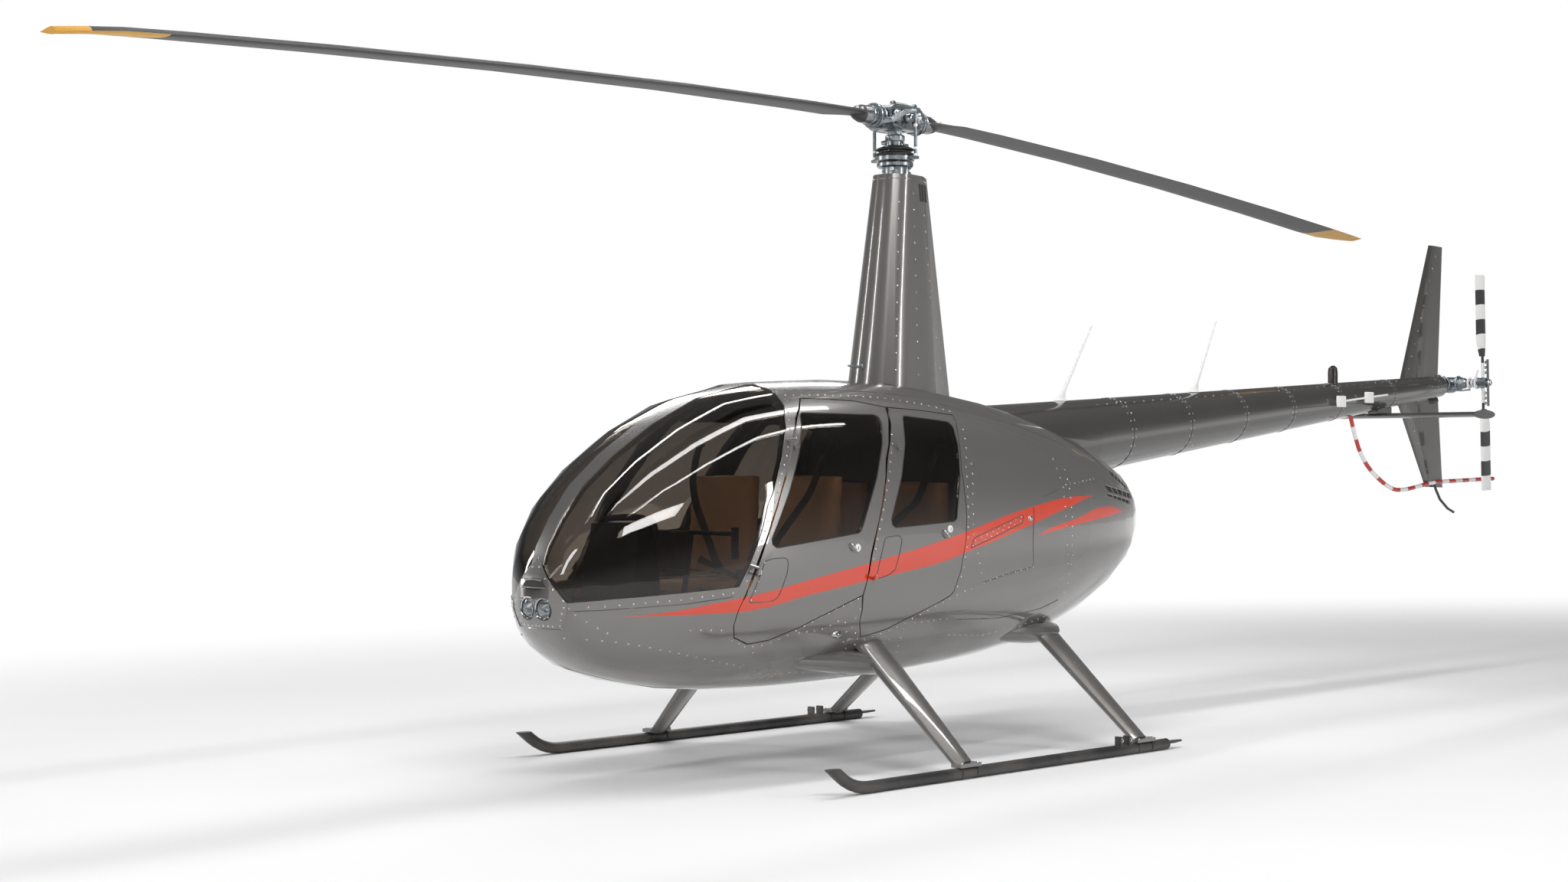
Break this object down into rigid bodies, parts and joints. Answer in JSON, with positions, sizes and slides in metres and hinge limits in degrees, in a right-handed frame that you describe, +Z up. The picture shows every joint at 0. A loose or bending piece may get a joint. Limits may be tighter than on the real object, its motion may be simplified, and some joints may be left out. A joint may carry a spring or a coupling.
{
  "type": "light helicopter",
  "caption": "Light cabin helicopter on fixed skids with a two-blade main rotor on a tall mast, a two-blade tail rotor and hinged doors.",
  "frame": {"origin": "on the ground under the middle of the bounding box", "axes": "+X out of the nose, +Y to the left side, +Z up"},
  "size_m": [11.2616, 2.24, 3.385],
  "materials": {
    "body_paint": "gloss",
    "tinted_glass": "polished",
    "tan_leather": "satin",
    "black_trim": "matte",
    "dark_paint": "satin",
    "bare_metal": "satin",
    "blade_paint": "matte",
    "white_plastic": "gloss",
    "guard_paint": "gloss",
    "dark_lens": "gloss",
    "clear_lens": "polished",
    "cast_alloy": "matte"
  },
  "bodies": {
    "airframe": {"cabin_tub": "body_paint", "windshield_frame": "body_paint", "roof": "body_paint", "cowl_aft": "body_paint", "cowl_left": "body_paint", "cowl_right": "body_paint", "mast_fairing": "body_paint", "tail_cone": "body_paint", "tail_cone_fairing": "body_paint", "fin_upper": "body_paint", "fin_lower": "body_paint", "stabilizer": "body_paint", "strut_front_left": "body_paint", "strut_front_right": "body_paint", "strut_rear_left": "body_paint", "strut_rear_right": "body_paint", "windshield_left": "tinted_glass", "windshield_right": "tinted_glass", "seat_back_front_left": "tan_leather", "seat_back_front_right": "tan_leather", "seat_back_rear_left": "tan_leather", "seat_back_rear_right": "tan_leather", "seat_cushion_front_left": "tan_leather", "seat_cushion_front_right": "tan_leather", "seat_cushion_rear_left": "tan_leather", "seat_cushion_rear_right": "tan_leather", "console": "black_trim", "cyclic": "black_trim", "collective": "black_trim", "cabin_floor": "black_trim", "firewall": "black_trim", "skid_left": "dark_paint", "skid_right": "dark_paint", "swash_fixed": "bare_metal", "mast_tube": "bare_metal", "tail_gearbox": "bare_metal", "antenna_front": "white_plastic", "antenna_rear": "white_plastic", "tail_rotor_guard": "guard_paint", "beacon": "dark_lens", "landing_light_left": "clear_lens", "landing_light_right": "clear_lens", "engine": "cast_alloy"},
    "main_rotor": {"mast_shaft": "bare_metal", "rotor_hub": "bare_metal", "main_blade_a": "blade_paint", "main_blade_b": "blade_paint", "swash_turning": "bare_metal"},
    "tail_rotor": {"tail_hub": "bare_metal", "tail_blade_a": "dark_paint", "tail_blade_b": "dark_paint"},
    "front_door_left": {"door_front_left": "body_paint", "glass_front_left": "tinted_glass"},
    "front_door_right": {"door_front_right": "body_paint", "glass_front_right": "tinted_glass"},
    "rear_door_left": {"door_rear_left": "body_paint", "glass_rear_left": "tinted_glass"},
    "rear_door_right": {"door_rear_right": "body_paint", "glass_rear_right": "tinted_glass"}
  },
  "joints": [
    {"name": "main_rotor_spin", "type": "hinge", "parent": "airframe", "child": "main_rotor", "pos_m": [0.6054, 0, 3.297], "axis": [0, 0, 1], "continuous": true},
    {"name": "tail_rotor_spin", "type": "hinge", "parent": "airframe", "child": "tail_rotor", "pos_m": [-5.0896, 0.25, 2.01], "axis": [0, 1, 0], "continuous": true},
    {"name": "front_door_left_hinge", "type": "hinge", "parent": "airframe", "child": "front_door_left", "pos_m": [2.0813, 0.5946, 1.3003], "axis": [0.4639, 0.1045, -0.8797], "range_deg": [0, 75]},
    {"name": "front_door_right_hinge", "type": "hinge", "parent": "airframe", "child": "front_door_right", "pos_m": [2.0813, -0.5946, 1.3003], "axis": [-0.4639, 0.1045, 0.8797], "range_deg": [0, 75]},
    {"name": "rear_door_left_hinge", "type": "hinge", "parent": "airframe", "child": "rear_door_left", "pos_m": [1.3581, 0.6275, 1.2709], "axis": [0.365, 0.1004, -0.9256], "range_deg": [0, 75]},
    {"name": "rear_door_right_hinge", "type": "hinge", "parent": "airframe", "child": "rear_door_right", "pos_m": [1.3581, -0.6275, 1.2709], "axis": [-0.365, 0.1004, 0.9256], "range_deg": [0, 75]}
  ],
  "couplings": [
    {"joint": "tail_rotor_spin", "follows": "main_rotor_spin", "ratio": -5.957}
  ]
}
